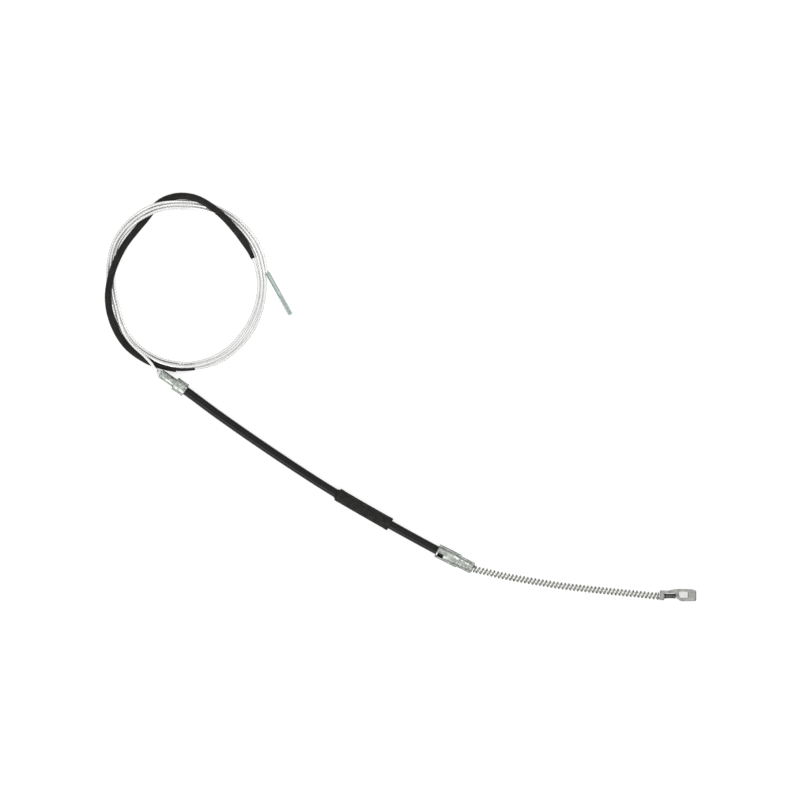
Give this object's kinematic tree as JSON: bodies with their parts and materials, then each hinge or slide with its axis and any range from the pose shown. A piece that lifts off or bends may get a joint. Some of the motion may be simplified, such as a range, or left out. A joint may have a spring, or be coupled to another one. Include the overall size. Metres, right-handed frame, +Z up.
{
  "type": "parking brake cable",
  "caption": "Parking brake cable lying flat: lever yoke, return spring, sheathed casing between two ferrules, and a coiled wire cable with a threaded end.",
  "frame": {"origin": "on the surface that the cable lies on, under the middle of the casing assembly's box: yoke, spring, ferrules and casing, without the free cable, its hose and its threaded end", "axes": "+X along the lying assembly towards the yoke, +Y across it towards the coil, +Z up from the surface it lies on"},
  "size_m": [0.5916, 0.4084, 0.0143],
  "materials": {
    "bright_zinc": "satin",
    "dark_steel": "satin",
    "spring_steel": "satin",
    "ferrule_zinc": "satin",
    "white_nylon": "satin",
    "black_casing": "satin",
    "wire_rope": "satin",
    "black_rubber": "matte",
    "black_hose": "satin",
    "blue_zinc": "satin"
  },
  "bodies": {
    "root": {"yoke": "bright_zinc", "cable_nipple": "dark_steel", "return_spring": "spring_steel", "wheel_ferrule": "ferrule_zinc", "casing_liner": "white_nylon", "casing_armour": "spring_steel", "casing_jacket": "black_casing", "inner_cable": "wire_rope", "guide_sleeve": "black_rubber", "body_ferrule": "ferrule_zinc", "nose_bush": "white_nylon", "cable_lead": "wire_rope", "cable_coil": "wire_rope", "hose_cable": "wire_rope", "protective_hose": "black_hose", "hose_liner": "black_casing", "cable_tail": "wire_rope", "threaded_end": "blue_zinc"}
  },
  "joints": []
}
